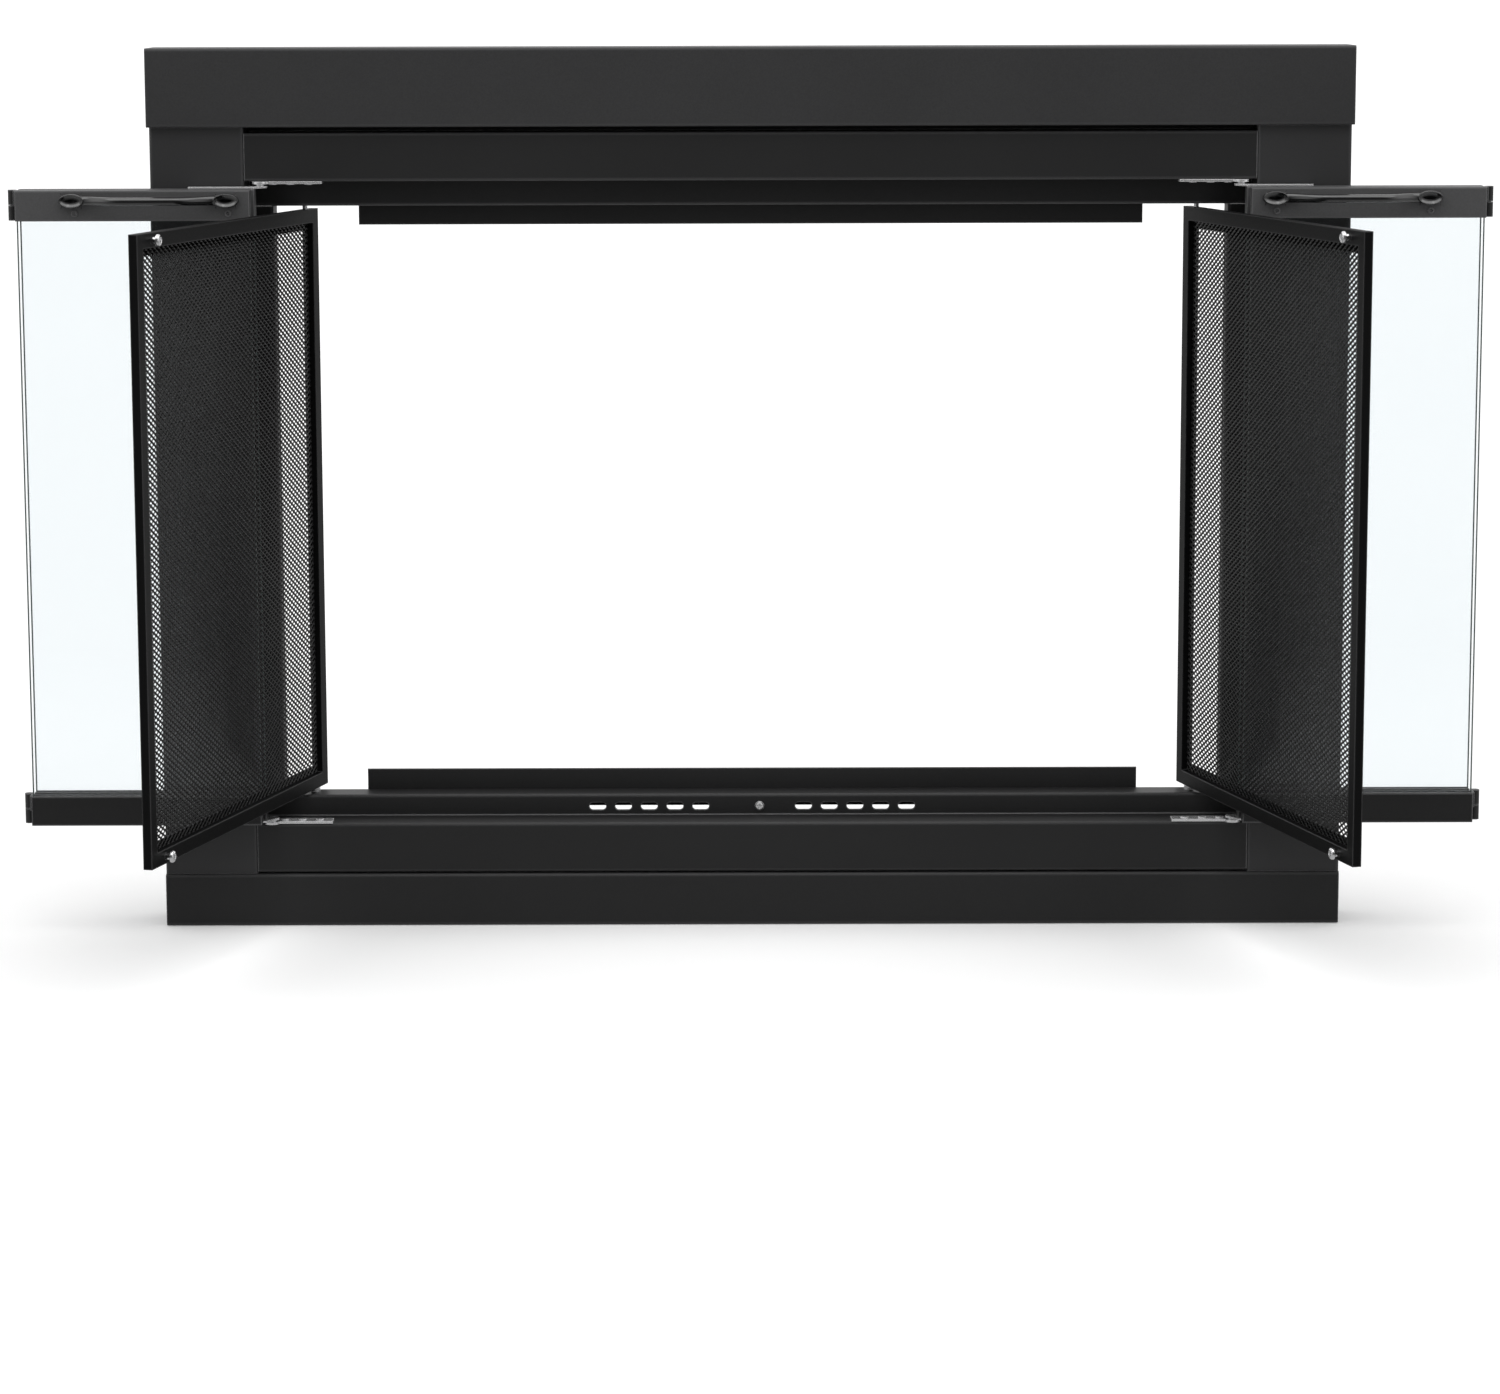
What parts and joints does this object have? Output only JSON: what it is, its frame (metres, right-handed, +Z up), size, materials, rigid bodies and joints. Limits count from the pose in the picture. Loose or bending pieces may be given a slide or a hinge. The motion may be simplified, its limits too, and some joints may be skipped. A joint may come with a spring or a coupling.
{
  "type": "fireplace glass door",
  "caption": "Black steel surround for a fireplace opening, with folding glass doors and hinged mesh screen doors, all shown open.",
  "frame": {"origin": "middle of the sill bar's bottom face, under the front plane of the stiles", "axes": "+X to the right seen from the room, +Y back into the fireplace, +Z up"},
  "size_m": [1.163, 0.4008, 0.701],
  "materials": {
    "black_coat": "satin black powder coat",
    "dark_steel": "matt black",
    "mesh_steel": "semi-gloss black expanded mesh",
    "zinc_plate": "bright zinc",
    "bright_chrome": "polished",
    "clear_glass": "clear tempered glass"
  },
  "bodies": {
    "surround": {"lintel_cover": "black_coat", "left_stile": "black_coat", "right_stile": "black_coat", "sill_bar": "black_coat", "top_rail": "black_coat", "bottom_rail": "black_coat", "left_jamb": "black_coat", "right_jamb": "black_coat", "top_stop_strip": "dark_steel", "bottom_stop_strip": "dark_steel", "strip_rivets": "dark_steel", "frame_rivets": "dark_steel", "vent_screw": "zinc_plate", "upper_left_pivot_plate": "zinc_plate", "upper_right_pivot_plate": "zinc_plate", "lower_left_pivot_plate": "zinc_plate", "lower_right_pivot_plate": "zinc_plate", "plate_rivets": "zinc_plate", "left_floor_bracket": "zinc_plate", "right_floor_bracket": "zinc_plate", "left_lintel_bracket": "zinc_plate", "right_lintel_bracket": "zinc_plate", "bracket_bolts": "zinc_plate"},
    "left_side_leaf": {"left_side_glass": "clear_glass", "left_side_top_rail": "black_coat", "left_side_bottom_rail": "black_coat", "upper_left_leaf_hinge": "zinc_plate", "lower_left_leaf_hinge": "zinc_plate", "left_fold_hinge_side_halves": "black_coat"},
    "left_lead_leaf": {"left_lead_glass": "clear_glass", "left_lead_top_rail": "black_coat", "left_lead_bottom_rail": "black_coat", "left_fold_hinge_lead_halves": "black_coat", "left_handle": "black_coat", "left_handle_screws": "zinc_plate"},
    "left_mesh_door": {"left_mesh_frame": "black_coat", "left_mesh": "mesh_steel", "left_mesh_pins": "zinc_plate", "left_mesh_studs": "bright_chrome"},
    "right_side_leaf": {"right_side_glass": "clear_glass", "right_side_top_rail": "black_coat", "right_side_bottom_rail": "black_coat", "upper_right_leaf_hinge": "zinc_plate", "lower_right_leaf_hinge": "zinc_plate", "right_fold_hinge_side_halves": "black_coat"},
    "right_lead_leaf": {"right_lead_glass": "clear_glass", "right_lead_top_rail": "black_coat", "right_lead_bottom_rail": "black_coat", "right_fold_hinge_lead_halves": "black_coat", "right_handle": "black_coat", "right_handle_screws": "zinc_plate"},
    "right_mesh_door": {"right_mesh_frame": "black_coat", "right_mesh": "mesh_steel", "right_mesh_pins": "zinc_plate", "right_mesh_studs": "bright_chrome"}
  },
  "joints": [
    {"name": "left_glass_hinge", "type": "hinge", "parent": "surround", "child": "left_side_leaf", "pos_m": [-0.386, 0, 0.34], "axis": [0, 0, 1], "range_deg": [0, 180]},
    {"name": "left_fold_hinge", "type": "hinge", "parent": "left_side_leaf", "child": "left_lead_leaf", "pos_m": [-0.578, -0.018, 0.34], "axis": [0, 0, 1], "range_deg": [-180, 0]},
    {"name": "left_mesh_hinge", "type": "hinge", "parent": "surround", "child": "left_mesh_door", "pos_m": [-0.356, 0.052, 0.3385], "axis": [0, 0, 1], "range_deg": [0, 105]},
    {"name": "right_glass_hinge", "type": "hinge", "parent": "surround", "child": "right_side_leaf", "pos_m": [0.386, 0, 0.34], "axis": [0, 0, -1], "range_deg": [0, 180]},
    {"name": "right_fold_hinge", "type": "hinge", "parent": "right_side_leaf", "child": "right_lead_leaf", "pos_m": [0.578, -0.018, 0.34], "axis": [0, 0, -1], "range_deg": [-180, 0]},
    {"name": "right_mesh_hinge", "type": "hinge", "parent": "surround", "child": "right_mesh_door", "pos_m": [0.356, 0.052, 0.3385], "axis": [0, 0, -1], "range_deg": [0, 105]}
  ],
  "couplings": [
    {"joint": "left_fold_hinge", "follows": "left_glass_hinge", "ratio": -1},
    {"joint": "left_mesh_hinge", "follows": "left_glass_hinge", "ratio": 0.58333},
    {"joint": "right_fold_hinge", "follows": "right_glass_hinge", "ratio": -1},
    {"joint": "right_mesh_hinge", "follows": "right_glass_hinge", "ratio": 0.58333}
  ]
}
